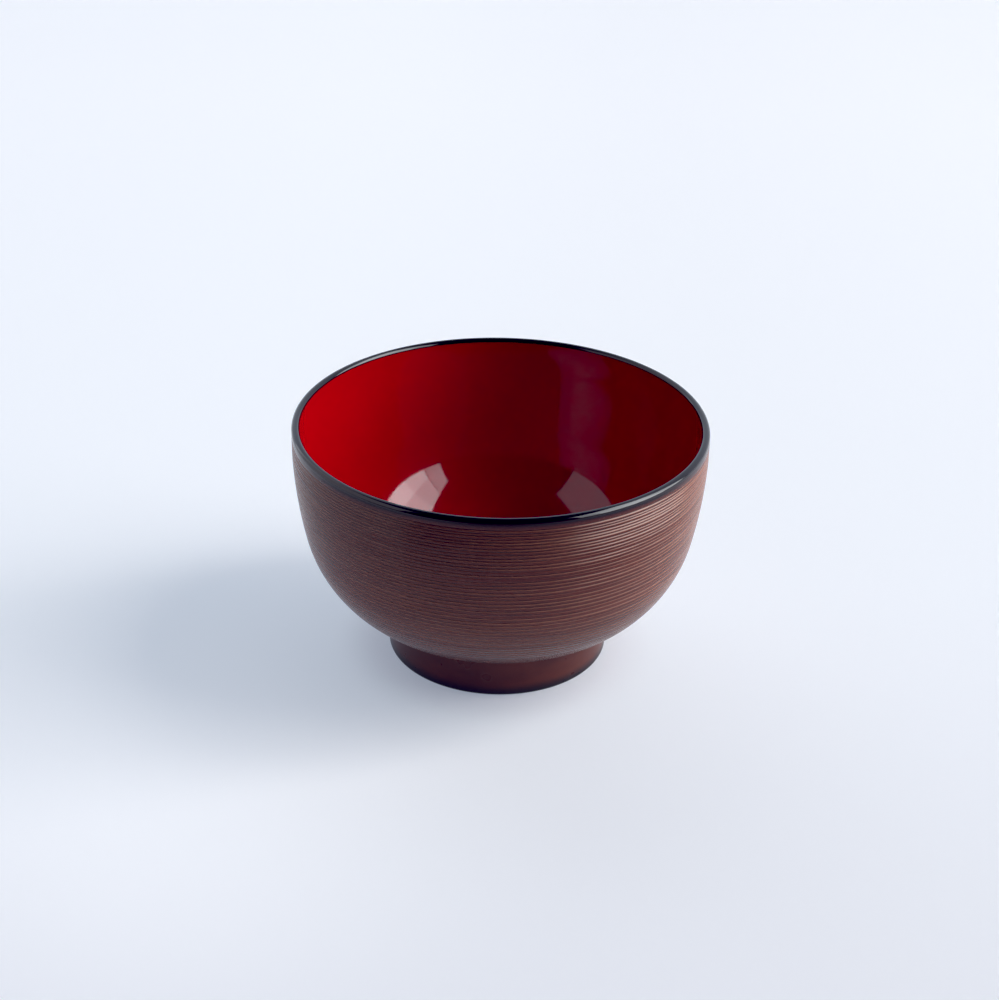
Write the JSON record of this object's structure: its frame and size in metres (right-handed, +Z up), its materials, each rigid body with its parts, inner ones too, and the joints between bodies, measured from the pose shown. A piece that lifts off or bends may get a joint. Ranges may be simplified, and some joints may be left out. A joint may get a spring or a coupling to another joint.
{
  "type": "rice bowl",
  "caption": "Round footed rice bowl with a thin rounded lip, fine turned grooves outside, a smooth red inside, a black rim and a plain foot ring.",
  "frame": {"origin": "centre of the circle the foot stands on, on the table's surface", "axes": "+Z up along the bowl's axis; +X and +Y are free, because the bowl is round"},
  "size_m": [0.11, 0.11, 0.067],
  "materials": {
    "core": "moulded wood-flour resin, hidden under the coats",
    "red_gloss": "deep red gloss lacquer",
    "black_gloss": "black gloss lacquer",
    "grooved_brown": "satin brown lacquer over fine turned grooves",
    "foot_brown": "smooth satin dark brown lacquer",
    "foot_black": "black lacquer, softer than the rim"
  },
  "bodies": {
    "root": {"bowl_core": "core", "foot_ring": "core", "inner_coat": "red_gloss", "rim_coat": "black_gloss", "outer_coat": "grooved_brown", "foot_coat": "foot_brown", "foot_edge_coat": "foot_black", "recess_coat": "foot_black"}
  },
  "joints": []
}
